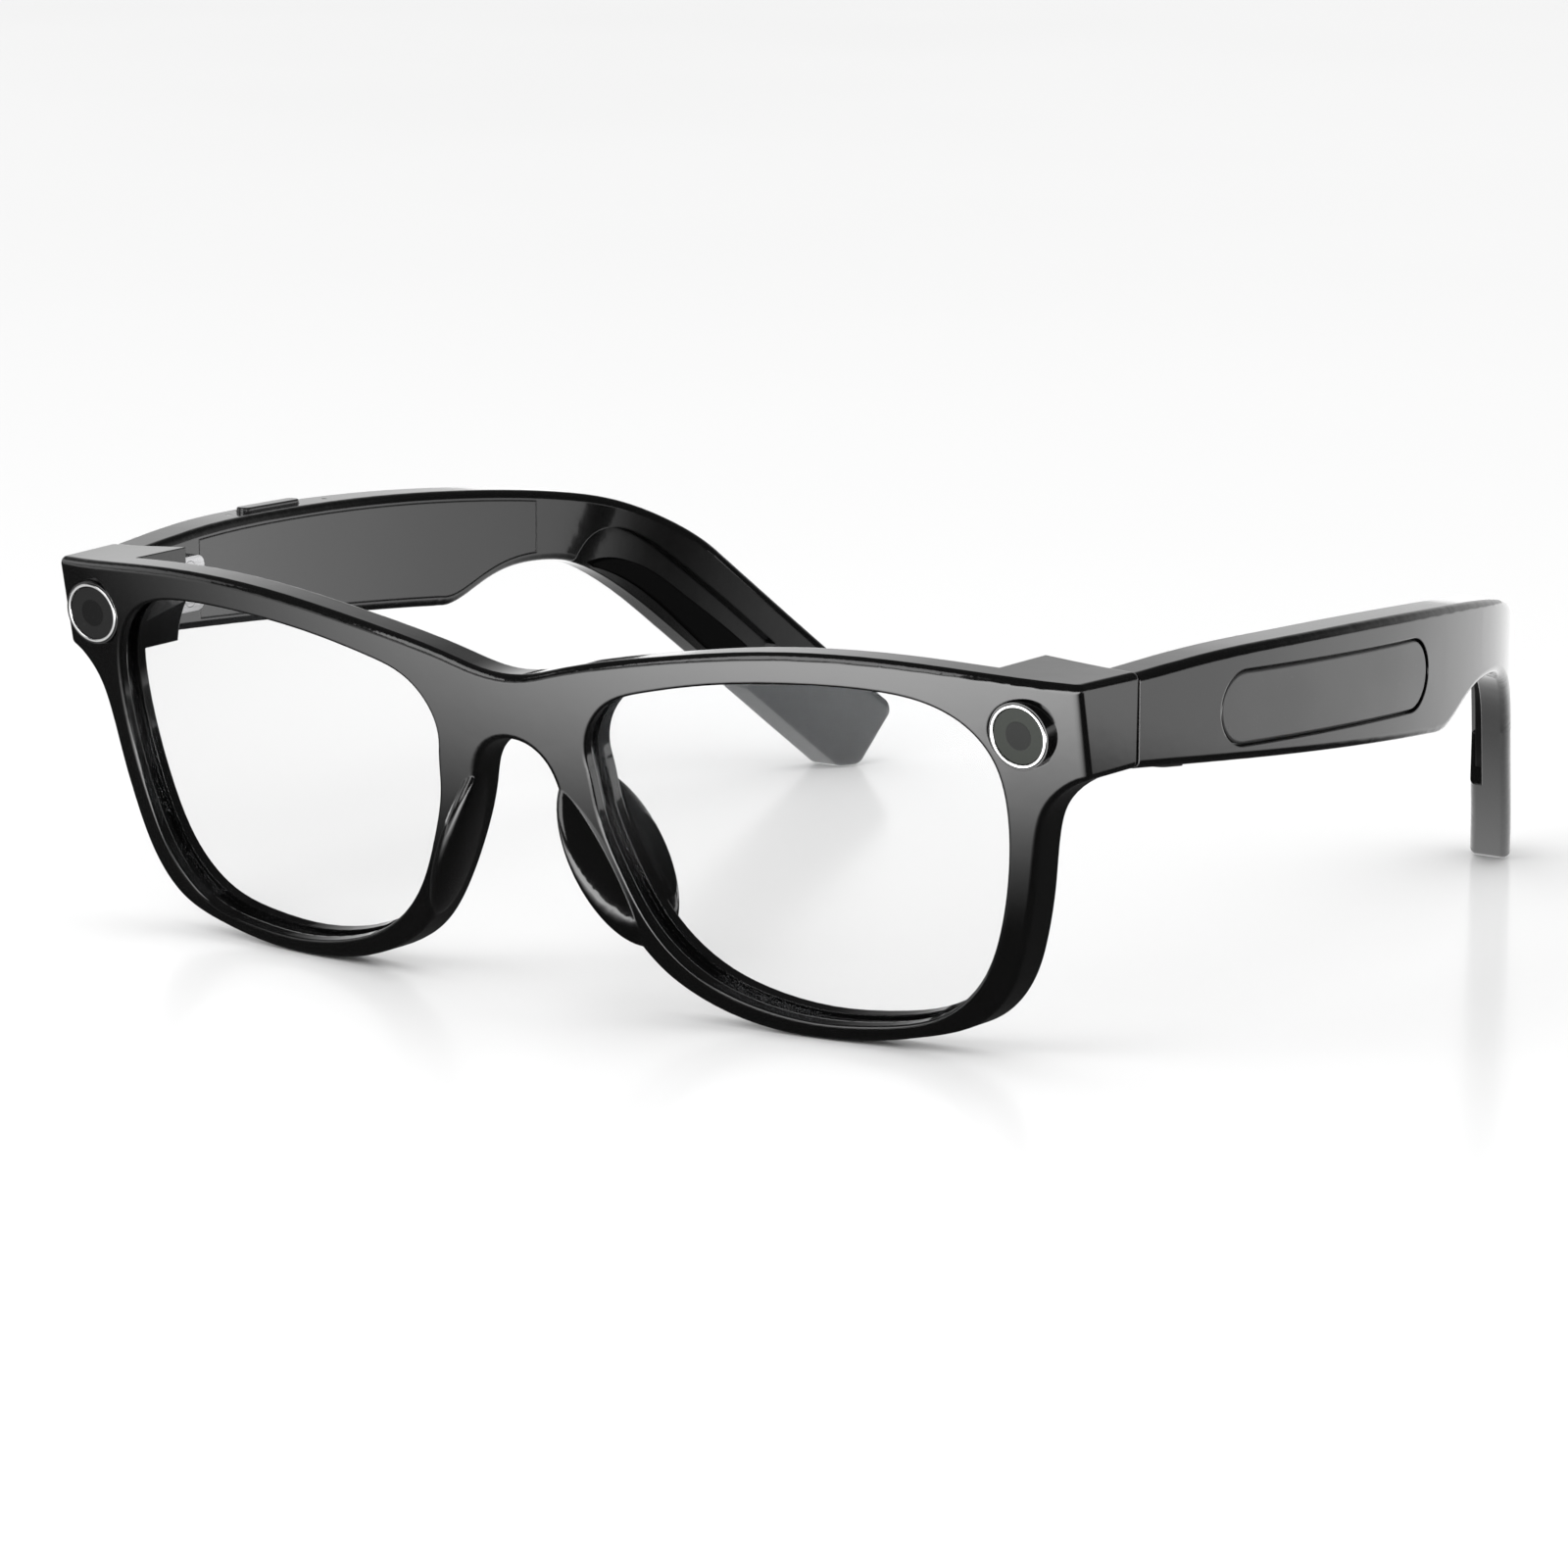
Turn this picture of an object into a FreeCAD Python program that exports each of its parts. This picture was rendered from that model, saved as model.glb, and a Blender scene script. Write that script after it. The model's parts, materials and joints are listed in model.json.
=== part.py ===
"""Camera glasses with an open-ear speaker, battery and electronics in each temple.

Units are millimetres. The wearer's left is +X, the temples run back along +Y, +Z is up and
the glasses stand on z = 0 with the temples open.
"""
import FreeCAD, Part
import math
import os

V = FreeCAD.Vector
X_AXIS = V(1, 0, 0)
Y_AXIS = V(0, 1, 0)
Z_AXIS = V(0, 0, 1)
ORIGIN = V(0, 0, 0)

# ---- driving dimensions -------------------------------------------------------------------
# Front surface: y = FACE_BOW x^2 + FACE_WRAP x^4 - tan(FACE_TILT) (z - FACE_LEVEL)
FACE_TILT = 11.1
FACE_LEVEL = 33.4
FACE_BOW = 1.13e-3
FACE_WRAP = 1.0e-7
RIM_DEPTH = 5.1
FACE_CORNER_X = 74.1
SIDE_X = 75.0
PARTING_Y = 17.6
PARTING_GAP = 0.35
BLOCK_INNER_X = 62.8
BLOCK_BOTTOM = 34.3

EDGE_ROUND = 0.8
CORNER_ROUND = 1.3
BACK_ROUND = 0.6
OPENING_ROUND = 0.35

# Front view of the frame, right half (x, z): the brow line from the bridge outwards, then the
# lower line from the end piece round the rim and up to the bridge arch.
BROW_LINE = [(0, 39.9), (3.8, 40.3), (8, 41.4), (15, 43.0), (24, 44.6), (34, 46.0),
             (44, 46.7), (52, 46.7), (61, 46.2), (69, 45.6), (77, 45.3)]
LOWER_LINE = [(77, 34.3), (73.6, 34.2), (71.1, 32.8), (69.0, 30.4), (67.8, 27), (66.6, 20.6),
              (65.2, 14.8), (62.9, 8.9), (58.9, 4.4), (52, 1.8), (45, 0.5), (37.5, 0.05),
              (30, 0.7), (23, 2.8), (17.4, 6.2), (12.7, 12), (9.2, 18.3), (6.3, 25.5),
              (4.8, 29.5), (2.8, 31.3), (0, 32.0)]
# Lens opening (x, height above FACE_LEVEL in the tilted lens plane).
OPENING = [(10.9, -3.7), (11.8, 1.4), (14.6, 4.4), (20, 6.4), (28, 8.0), (36, 8.9),
           (43, 9.2), (50, 9.0), (56, 7.9), (60.7, 5.2), (63.4, 1.3), (64.4, -4.0),
           (64.0, -11), (62.3, -18.9), (59.3, -25.6), (54, -30.2), (46, -32.1), (38, -32.4),
           (30, -31.2), (23, -28.4), (17.4, -23.3), (13.6, -15.8), (11.5, -9)]

LENS_OVERLAP = 0.7
LENS_FRONT = 1.6
LENS_THICK = 2.0
GROOVE_PLAY = 0.06

# Moulded nose pads: half an ellipsoid each, buried in the nasal side of the rim.
PAD_CENTRE = (11.3, 6.2, 18.6)
PAD_SEMI_AXES = (2.1, 6.6, 11.5)
PAD_LEAN = 25.0
PAD_SPLAY = 14.0

# Flexible circuit in a channel behind the brow, and the strip that closes the channel.
FLEX_HALF_LENGTH = 62.5
FLEX_BELOW_BROW = 1.25
FLEX_WIDTH = 1.1
FLEX_DEPTH = 3.3
FLEX_THICK = 0.25
STRIP_THICK = 0.9

# Round modules in the end pieces. Depths run back from the front rim of the bezel ring.
MODULE_CENTRE = (67.3, 5.0, 39.2)
MODULE_TILT = 8.0
HOUSING_R = 3.95
HOUSING_DEPTH = 2.0
TUBE_R = 3.35
TUBE_DEPTH = 5.4
BEZEL_OUTER_R = 3.75
BEZEL_INNER_R = 3.3
BEZEL_DEPTH = 0.55
GLASS_R = 3.26
GLASS_FRONT = 0.18
GLASS_THICK = 0.8
BORE_R = 2.85
BARREL_R = 2.3
BARREL_FRONT = 1.2
BARREL_BACK = 4.2
MOUTH_DEPTH = 0.7
ELEMENT_R = 0.9
ELEMENT_THICK = 0.35
BOARD_THICK = 0.6
BOARD_R = BORE_R - 0.1
REFLECTOR_DEPTH = 2.2
POCKET_PLAY = 0.08
POCKET_DEPTH = 6.0

# Hinge: a pivot just inside the parting corner.
PIVOT_X = 69.0
PIVOT_Y = 18.7
KNUCKLE_R = 1.3
PIN_R = 0.6
PIN_PLAY = 0.05
PIN_HEAD_R = 1.0
PIN_HEAD_HEIGHT = 0.6
HINGE_BOTTOM = 36.4
HINGE_TOP = 43.4
KNUCKLE_GAP = 0.12
MIDDLE_KNUCKLE = (38.6, 41.2)
LEAF_FRONT_Y = 13.9
LEAF_PLATE_IN = 0.9
LEAF_PLATE_OUT = 2.4
LEAF_PLATE_START = 1.65
LEAF_PLATE_END = 8.8
LEAF_CORNER = 1.4
HINGE_CLEARANCE = 0.3
LEAF_SCREW_R = 0.8

# Temple in plan: (y, x of the middle, thickness).
TEMPLE_PLAN = [(10, 71.6, 5.3), (18, 72.4, 5.5), (32, 74.2, 5.9), (46, 75.5, 6.1),
               (60, 75.9, 6.1), (74, 75.4, 6.0), (88, 73.7, 5.8), (100, 71.2, 5.5),
               (109, 68.1, 5.3), (121, 62.0, 5.2), (134, 55.0, 5.2), (147, 47.6, 5.2),
               (154, 43.6, 5.2)]
# Temple from the side (y, z): the top line, the tip, then the notch in front of the ear.
TEMPLE_START = PARTING_Y + PARTING_GAP
TOP_LINE = [(TEMPLE_START, 45.2), (32, 45.8), (47, 45.6), (62, 45.0), (76, 44.1), (90, 42.8),
            (102, 41.2), (110, 39.4), (116.5, 36.5), (123.5, 31.4)]
TIP_BACK = (146.9, 7.7)
TIP_FOOT_BACK = (142.4, 0)
TIP_FOOT_FRONT = (139.3, 0)
NOTCH_LINE = [(118, 21.2), (110, 28.3), (104, 31.5), (98, 32.4), (92, 31.9), (87.5, 30.4),
              (84.3, 29.1), (82, 28.55), (79.5, 28.68)]
TEMPLE_FRONT_BOTTOM = (TEMPLE_START, 34.3)
TIP_ROUND = 1.7
TEMPLE_ROUND = 1.0

# Electronics bay in the temple.
BAY_START = 30.0
BAY_END = 97.0
WALL = 1.3
COVER_THICK = 1.0
COVER_PLAY = 0.05

# Scoop on the inside of each tip and the soft pad in it (y, z).
SCOOP_UPPER = [(102.6, 29.5), (104.4, 33.6), (106.6, 35.4), (109.3, 35.8), (112, 34.9),
               (118.7, 29.6), (124.4, 24.2), (130.5, 18.0)]
SCOOP_END = [(127, 12), (100, 26)]
SCOOP_DEPTH = 1.5
PAD_UPPER = [(106.6, 31.0), (110.4, 31.3), (113, 30.4), (118.7, 26.0), (124, 21.2),
             (128.6, 16.6)]
PAD_LOWER = [(126.0, 14.7), (118.7, 22.0), (112.4, 27.9), (107.4, 30.4)]
PAD_TOP_DEPTH = 0.7

# Touch panel on the outside of the left temple: a stadium along a sloping line (y, z).
TOUCH_FRONT = (36.4, 38.7)
TOUCH_BACK = (72.6, 36.9)
TOUCH_R = 4.15
TOUCH_THICK = 0.75
TOUCH_GROOVE = 0.3
TOUCH_RECESS = 0.12

# Capture button, its switch, the status light and the microphone on the right temple's top.
BUTTON_Y = 49.2
BUTTON_LENGTH = 12.0
BUTTON_WIDTH = 2.0
BUTTON_PROUD = 0.6
BUTTON_TRAVEL = 0.3
BUTTON_PLAY = 0.1
STATUS_Y = 40.6
STATUS_R = 0.45
MIC_Y = 60.9
MIC_HOLE_R = 0.35

# Charging contacts under the left temple.
CONTACT_Y = 26.4
CONTACT_LENGTH = 5.0
CONTACT_WIDTH = 2.6
CONTACT_PROUD = 0.35
CONTACT_PIN_R = 0.5
CONTACT_SPACING = 2.2

# Pieces inside each electronics bay.
BATTERY = (33.0, 62.0, 34.7, 42.1)
BATTERY_THICK = 2.6
BOARD = (64.5, 81.0, 31.5, 42.0)
SPEAKER = (83.0, 95.0, 33.9, 41.0)
SPEAKER_THICK = 2.4
GRILLE_Y = 78.5
GRILLE_LENGTH = 7.0
GRILLE_WIDTH = 1.4

FAR = 200.0
BELOW_GROUND = -10.0


# ---- sketching helpers --------------------------------------------------------------------
def front_view(points):
    """Front-view pairs (x, z) as vectors."""
    return [V(x, 0, z) for x, z in points]


def side_view(points):
    """Side-view pairs (y, z) as vectors."""
    return [V(0, y, z) for y, z in points]


def spline(points, closed=False):
    curve = Part.BSplineCurve()
    curve.interpolate(Points=points, PeriodicFlag=closed)
    return curve


def offset_points(points, distance, normal, closed=False):
    """The points moved sideways, in the sketch plane, off the curve that joins them."""
    curve = spline(points, closed)
    moved = []
    for point in points:
        tangent = curve.tangent(curve.parameter(point))[0]
        moved.append(point + tangent.cross(normal).normalize() * distance)
    return moved


def prism(edges, direction):
    """A closed outline extruded along a direction."""
    return Part.Face(Part.Wire(edges)).extrude(direction)


def line(start, end):
    return Part.makeLine(start, end)


def box(low, high):
    size = V(*high) - V(*low)
    return Part.makeBox(size.x, size.y, size.z, V(*low))


def fuse(shapes):
    return shapes[0].multiFuse(shapes[1:]).removeSplitter()


def mirrored(shape):
    """The same piece on the other side of the glasses."""
    return shape.mirror(ORIGIN, X_AXIS)


def both_sides(shape):
    return [shape, mirrored(shape)]


def middle(edge):
    return edge.valueAt((edge.FirstParameter + edge.LastParameter) / 2)


# ---- front surface ------------------------------------------------------------------------
SLOPE = math.tan(math.radians(FACE_TILT))


def setback(x):
    """How far the front surface falls back at x, at FACE_LEVEL."""
    return FACE_BOW * x ** 2 + FACE_WRAP * x ** 4


def face_y(x, z):
    return setback(x) - SLOPE * (z - FACE_LEVEL)


def face_curve(half_width, depth):
    """The front surface's plan curve just below the ground, moved back by depth."""
    xs = [i / 4 * half_width for i in range(-4, 5)]
    return spline([V(x, face_y(x, BELOW_GROUND) + depth, BELOW_GROUND) for x in xs])


def slanted_prism(edges):
    """A plan outline extruded upwards along the tilt of the front."""
    height = 70
    return prism(edges, V(0, -SLOPE * height, height))


def face_band(front_depth, back_depth, half_width=FACE_CORNER_X + 5):
    """The slab between two depths behind the front surface."""
    front = face_curve(half_width, front_depth).toShape()
    back = face_curve(half_width, back_depth).toShape()
    ends = [line(f.Point, b.Point) for f, b in zip(front.Vertexes, back.Vertexes)]
    return slanted_prism([front, ends[1], back, ends[0]])


def behind_face():
    """Everything behind the front surface and between the two side faces."""
    front = face_curve(FACE_CORNER_X, 0).toShape()
    start, end = front.Vertexes[0].Point, front.Vertexes[-1].Point
    flare = (SIDE_X - FACE_CORNER_X) / (PARTING_Y - face_y(FACE_CORNER_X, 40))
    reach = 40
    left_back = start + V(-flare * reach, reach, 0)
    right_back = end + V(flare * reach, reach, 0)
    return slanted_prism([front, line(end, right_back), line(right_back, left_back),
                          line(left_back, start)])


def frame_outline():
    """The whole front view, thick enough to be cut to depth afterwards."""
    brow = [(-x, z) for x, z in BROW_LINE[:0:-1]] + BROW_LINE
    lower = LOWER_LINE + [(-x, z) for x, z in LOWER_LINE[-2::-1]]
    brow_edge = spline(front_view(brow)).toShape()
    lower_edge = spline(front_view(lower)).toShape()
    right_end = line(front_view(brow)[-1], front_view(lower)[0])
    left_end = line(front_view(lower)[-1], front_view(brow)[0])
    outline = prism([brow_edge, right_end, lower_edge, left_end], V(0, 40, 0))
    outline.translate(V(0, -10, 0))
    return outline


def lens_plane(shape):
    """Tilt a front-view shape into the plane of the lenses."""
    shape.rotate(ORIGIN, X_AXIS, FACE_TILT)
    shape.translate(V(0, 0, FACE_LEVEL))
    return shape


def opening_prism(growth):
    """The left lens opening, grown by a margin, as a prism along the lens axis."""
    points = offset_points(front_view(OPENING), growth, Y_AXIS, closed=True)
    solid = prism([spline(points, closed=True).toShape()], V(0, 40, 0))
    solid.translate(V(0, -10, 0))
    return lens_plane(solid)


def lens():
    return opening_prism(LENS_OVERLAP).common(face_band(LENS_FRONT, LENS_FRONT + LENS_THICK))


def lens_groove():
    band = face_band(LENS_FRONT - GROOVE_PLAY, LENS_FRONT + LENS_THICK + GROOVE_PLAY)
    return opening_prism(LENS_OVERLAP + GROOVE_PLAY).common(band)


def nose_pad():
    pad = Part.makeSphere(1)
    stretch = FreeCAD.Matrix()
    stretch.scale(*PAD_SEMI_AXES)
    pad = pad.transformGeometry(stretch)
    pad.rotate(ORIGIN, Z_AXIS, -PAD_SPLAY)
    pad.rotate(ORIGIN, Y_AXIS, -PAD_LEAN)
    pad.rotate(ORIGIN, X_AXIS, FACE_TILT)
    pad.translate(V(*PAD_CENTRE))
    return pad


def flex_run(play, front_depth, back_depth):
    """A strip that follows the brow line between two depths behind the front surface."""
    brow = front_view([(-x, z) for x, z in BROW_LINE[:0:-1]] + BROW_LINE)
    upper = spline(offset_points(brow, play - FLEX_BELOW_BROW, Y_AXIS)).toShape()
    lower = spline(offset_points(brow, -FLEX_BELOW_BROW - FLEX_WIDTH - play, Y_AXIS)).toShape()
    ends = [line(a.Point, b.Point) for a, b in zip(upper.Vertexes, lower.Vertexes)]
    run = prism([upper, ends[1], lower, ends[0]], V(0, 40, 0))
    run.translate(V(0, -10, 0))
    half = FLEX_HALF_LENGTH + play
    window = box((-half, -10, 30), (half, 20, 50))
    return run.common(window).common(face_band(front_depth, back_depth))


# ---- round modules ------------------------------------------------------------------------
def module_axis():
    tilt = math.radians(MODULE_TILT)
    return V(0, math.cos(tilt), math.sin(tilt))


def module_cylinder(radius, front_depth, back_depth):
    start = V(*MODULE_CENTRE) + module_axis() * front_depth
    return Part.makeCylinder(radius, back_depth - front_depth, start, module_axis())


def module_ring(outer_r, inner_r, front_depth, back_depth):
    hole = module_cylinder(inner_r, front_depth - 1, back_depth + 1)
    return module_cylinder(outer_r, front_depth, back_depth).cut(hole)


def module_pocket():
    wide = module_cylinder(HOUSING_R + POCKET_PLAY, -3, HOUSING_DEPTH)
    return fuse([wide, module_cylinder(TUBE_R + POCKET_PLAY, 0, POCKET_DEPTH)])


def module_housing():
    cup = fuse([module_cylinder(HOUSING_R, BEZEL_DEPTH * 0.3, HOUSING_DEPTH),
                module_cylinder(TUBE_R, BEZEL_DEPTH, TUBE_DEPTH)])
    cup = cup.cut(module_cylinder(BEZEL_OUTER_R, -1, BEZEL_DEPTH))
    cup = cup.cut(module_cylinder(GLASS_R, -1, GLASS_FRONT + GLASS_THICK))
    return cup.cut(module_cylinder(BORE_R, 0, TUBE_DEPTH + 1))


def module_bezel():
    ring = module_ring(BEZEL_OUTER_R, BEZEL_INNER_R, 0, BEZEL_DEPTH)
    rims = [e for e in ring.Edges if e.CenterOfMass.distanceToPoint(V(*MODULE_CENTRE)) < 0.01]
    return ring.makeFillet(0.15, rims)


def module_glass():
    return module_cylinder(GLASS_R, GLASS_FRONT, GLASS_FRONT + GLASS_THICK)


def camera_barrel():
    """Stepped lens barrel with a conical mouth."""
    start = V(*MODULE_CENTRE) + module_axis() * BARREL_FRONT
    mouth = Part.makeCone(1.5, ELEMENT_R, MOUTH_DEPTH, start, module_axis())
    barrel = fuse([module_cylinder(BARREL_R - 0.4, BARREL_FRONT, BARREL_BACK),
                   module_cylinder(BARREL_R, BARREL_FRONT + 0.8, BARREL_BACK)])
    return barrel.cut(mouth)


def camera_lens_element():
    """Front glass element at the bottom of the barrel's conical mouth."""
    back = BARREL_FRONT + MOUTH_DEPTH
    return module_cylinder(ELEMENT_R - 0.02, back - ELEMENT_THICK, back)


def camera_sensor_board():
    return module_cylinder(BOARD_R, BARREL_BACK, BARREL_BACK + BOARD_THICK)


def light_reflector():
    """Shallow cone that throws the light forward."""
    start = V(*MODULE_CENTRE) + module_axis() * BARREL_FRONT
    cone = Part.makeCone(2.4, 0.9, REFLECTOR_DEPTH, start, module_axis())
    return module_cylinder(BOARD_R, BARREL_FRONT, BARREL_FRONT + REFLECTOR_DEPTH).cut(cone)


def light_board():
    """Round board with a square light source on its front."""
    front = BARREL_FRONT + REFLECTOR_DEPTH
    board = module_cylinder(BOARD_R, front, front + BOARD_THICK)
    source = box((-0.5, -0.3, -0.5), (0.5, 0.05, 0.5))
    source.rotate(ORIGIN, X_AXIS, MODULE_TILT)
    source.translate(V(*MODULE_CENTRE) + module_axis() * front)
    return board.fuse(source).removeSplitter()


# ---- hinge --------------------------------------------------------------------------------
def pivot_cylinder(radius, bottom, top):
    return Part.makeCylinder(radius, top - bottom, V(PIVOT_X, PIVOT_Y, bottom))


def hinge_front_leaf():
    """Block buried in the end piece, with a knuckle at the top and one at the bottom."""
    low, high = MIDDLE_KNUCKLE
    base = box((PIVOT_X - KNUCKLE_R, LEAF_FRONT_Y, HINGE_BOTTOM),
               (PIVOT_X + KNUCKLE_R, PARTING_Y - 0.45, HINGE_TOP))
    leaf = [base]
    for bottom, top in ((HINGE_BOTTOM, low - KNUCKLE_GAP), (high + KNUCKLE_GAP, HINGE_TOP)):
        leaf.append(box((PIVOT_X - KNUCKLE_R, LEAF_FRONT_Y, bottom),
                        (PIVOT_X + KNUCKLE_R, PIVOT_Y, top)))
        leaf.append(pivot_cylinder(KNUCKLE_R, bottom, top))
    return fuse(leaf).cut(pivot_cylinder(PIN_R, HINGE_BOTTOM - 1, HINGE_TOP + 1))


def leaf_plate(inward):
    """Plate of the temple leaf, reaching `inward` past the pivot, rounded at its rear corners."""
    plate = box((PIVOT_X - inward, PIVOT_Y + LEAF_PLATE_START, HINGE_BOTTOM),
                (PIVOT_X + LEAF_PLATE_OUT, PIVOT_Y + LEAF_PLATE_END, HINGE_TOP))
    corners = [e for e in plate.Edges if e.BoundBox.XLength > 1 and middle(e).y > PIVOT_Y + 5]
    return plate.makeFillet(LEAF_CORNER, corners)


def hinge_temple_leaf():
    """Plate on the inside of the temple, with the middle knuckle."""
    low, high = MIDDLE_KNUCKLE
    arm = box((PIVOT_X - LEAF_PLATE_IN, PIVOT_Y, low),
              (PIVOT_X + LEAF_PLATE_OUT, PIVOT_Y + LEAF_PLATE_START + 1, high))
    leaf = fuse([leaf_plate(LEAF_PLATE_IN), arm, pivot_cylinder(KNUCKLE_R, low, high)])
    leaf = leaf.cut(pivot_cylinder(PIN_R + PIN_PLAY, low - 1, high + 1))
    return leaf.cut(fuse(leaf_screw_pair(0)))


def leaf_screw_pair(slot_depth):
    """Two countersunk screws through the temple leaf, driven from the inside."""
    screws = []
    for height in (HINGE_BOTTOM + 1.7, HINGE_TOP - 1.7):
        start = V(PIVOT_X - LEAF_PLATE_IN, PIVOT_Y + 6.0, height)
        head = Part.makeCone(LEAF_SCREW_R + 0.3, 0.5, 0.7, start, X_AXIS)
        shank = Part.makeCylinder(0.5, LEAF_PLATE_IN + LEAF_PLATE_OUT, start, X_AXIS)
        screw = head.fuse(shank)
        if slot_depth:
            slot = box((-0.1, -1.2, -0.14), (slot_depth, 1.2, 0.14))
            slot.translate(start)
            screw = screw.cut(slot)
        screws.append(screw)
    return screws


def hinge_pin():
    """Screw pin: plain shank and a slotted pan head on top."""
    pin = pivot_cylinder(PIN_R, HINGE_BOTTOM, HINGE_TOP)
    head = pivot_cylinder(PIN_HEAD_R, HINGE_TOP, HINGE_TOP + PIN_HEAD_HEIGHT)
    slot = box((PIVOT_X - 2, PIVOT_Y - 0.15, HINGE_TOP + PIN_HEAD_HEIGHT / 2),
               (PIVOT_X + 2, PIVOT_Y + 0.15, HINGE_TOP + PIN_HEAD_HEIGHT + 1))
    return fuse([pin, head]).cut(slot)


def front_hinge_pocket():
    return box((PIVOT_X - KNUCKLE_R, LEAF_FRONT_Y, HINGE_BOTTOM),
               (PIVOT_X + KNUCKLE_R, PARTING_Y + 1, HINGE_TOP))


def temple_hinge_pocket():
    """Room in the temple for its leaf, and for the front knuckles as the temple turns."""
    swing = pivot_cylinder(KNUCKLE_R + HINGE_CLEARANCE, HINGE_BOTTOM - HINGE_CLEARANCE,
                           HINGE_TOP + PIN_HEAD_HEIGHT + HINGE_CLEARANCE)
    arm = box((PIVOT_X - 5, PIVOT_Y - 2, MIDDLE_KNUCKLE[0]),
              (PIVOT_X + LEAF_PLATE_OUT, PIVOT_Y + LEAF_PLATE_START + 1, MIDDLE_KNUCKLE[1]))
    return fuse([swing, leaf_plate(5), arm])


# ---- front frame --------------------------------------------------------------------------
def behind(point):
    """Depth of a point behind the front surface."""
    return point.y - face_y(point.x, point.z)


def outer_edges(blank):
    """Corner, perimeter and rear edges of the frame blank."""
    corners, perimeter, rear = [], [], []
    for edge in blank.Edges:
        point, size = middle(edge), edge.BoundBox
        at_side = abs(point.x) > FACE_CORNER_X - 0.2
        if abs(behind(point)) < 0.02 and at_side and size.ZLength > 8:
            corners.append(edge)
        elif abs(behind(point)) < 0.02 and size.XLength > 5:
            perimeter.append(edge)
        elif at_side and size.YLength > 5 and size.ZLength < 4:
            perimeter.append(edge)
        elif abs(behind(point) - RIM_DEPTH) < 0.02 and edge.Length > 20:
            rear.append(edge)
    return corners, perimeter, sorted(rear, key=lambda edge: edge.Length)


def frame_blank():
    """Rims, bridge and end pieces with their outside edges rounded, before any cuts."""
    block = box((BLOCK_INNER_X, -5, BLOCK_BOTTOM), (FAR, PARTING_Y, 60))
    depth = fuse([face_band(-2, RIM_DEPTH)] + both_sides(block))
    blank = frame_outline().common(behind_face()).common(depth).removeSplitter()
    blank = blank.makeFillet(CORNER_ROUND, outer_edges(blank)[0])
    blank = blank.makeFillet(EDGE_ROUND, outer_edges(blank)[1])
    brow = outer_edges(blank)[2][0]
    blank = blank.makeFillet(BACK_ROUND, [brow])
    lower_rim = outer_edges(blank)[2][-1]
    return blank.makeFillet(BACK_ROUND / 2, [lower_rim])


def cut_openings(frame):
    """Cut both lens openings and round their front edges."""
    hole = opening_prism(0)
    frame = frame.cut(hole).cut(mirrored(hole))
    edges = [e for e in frame.Edges if abs(behind(middle(e))) < 0.02
             and e.Length > 100 and abs(middle(e).x) > 20]
    return frame.makeFillet(OPENING_ROUND, edges)


def front_frame():
    frame = fuse([frame_blank()] + both_sides(nose_pad()))
    frame = cut_openings(frame)
    for tool in (lens_groove(), module_pocket(), front_hinge_pocket()):
        frame = frame.cut(tool).cut(mirrored(tool))
    channel = flex_run(0.1, FLEX_DEPTH - 0.1, RIM_DEPTH + 2)
    return frame.cut(channel).removeSplitter()


def brow_flex():
    return flex_run(0, FLEX_DEPTH, FLEX_DEPTH + FLEX_THICK)


def brow_strip():
    """Strip glued over the channel, flush with the back of the brow."""
    return flex_run(0.05, RIM_DEPTH - STRIP_THICK, RIM_DEPTH - 0.02)


# ---- temples, drawn for the left side -------------------------------------------------------
def temple_edge(side, depth):
    """Plan points `depth` inside the temple's outer (side 1) or inner (side -1) face."""
    middle_line = [V(x, y, 0) for y, x, thickness in TEMPLE_PLAN]
    curve = spline(middle_line)
    points = []
    for point, (y, x, thickness) in zip(middle_line, TEMPLE_PLAN):
        outward = curve.tangent(curve.parameter(point))[0].cross(Z_AXIS).normalize()
        points.append(point + outward * side * (thickness / 2 - depth))
    return points


def temple_band(outer_points, inner_points):
    """The space between two plan lines, over the whole height."""
    outer, inner = spline(outer_points).toShape(), spline(inner_points).toShape()
    ends = [line(a.Point, b.Point) for a, b in zip(outer.Vertexes, inner.Vertexes)]
    return prism([outer, ends[1], inner, ends[0]], V(0, 0, 60))


def outer_layer(depth, thickness):
    """A layer that follows the temple's outer face, from `depth` inwards."""
    return temple_band(temple_edge(1, depth), temple_edge(1, depth + thickness))


def inner_layer(depth, thickness):
    """A layer that follows the temple's inner face, from `depth` outwards."""
    return temple_band(temple_edge(-1, depth + thickness), temple_edge(-1, depth))


def side_prism(edges):
    """A side-view outline run right through the temple."""
    solid = prism(edges, V(90, 0, 0))
    solid.translate(V(20, 0, 0))
    return solid


def temple_side():
    """The temple's side view with its tip and notch corners rounded."""
    top, notch = side_view(TOP_LINE), side_view(NOTCH_LINE)
    tip = side_view([TIP_BACK, TIP_FOOT_BACK, TIP_FOOT_FRONT])
    front_bottom = side_view([TEMPLE_FRONT_BOTTOM])[0]
    top_edge = Part.BSplineCurve()
    top_edge.interpolate(Points=top, InitialTangent=V(0, 14, 0.6), FinalTangent=V(0, 1, -1.01))
    notch_edge = Part.BSplineCurve()
    notch_edge.interpolate(Points=notch, InitialTangent=V(0, -1, 0.995),
                           FinalTangent=V(0, -1, 0.09))
    edges = [top_edge.toShape(), line(top[-1], tip[0]), line(tip[0], tip[1]),
             line(tip[1], tip[2]), line(tip[2], notch[0]), notch_edge.toShape(),
             line(notch[-1], front_bottom), line(front_bottom, top[0])]
    solid = side_prism(edges)
    tip_corners = [e for e in solid.Edges if e.BoundBox.XLength > 80 and middle(e).z < 8]
    return solid.makeFillet(TIP_ROUND, tip_corners)


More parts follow.
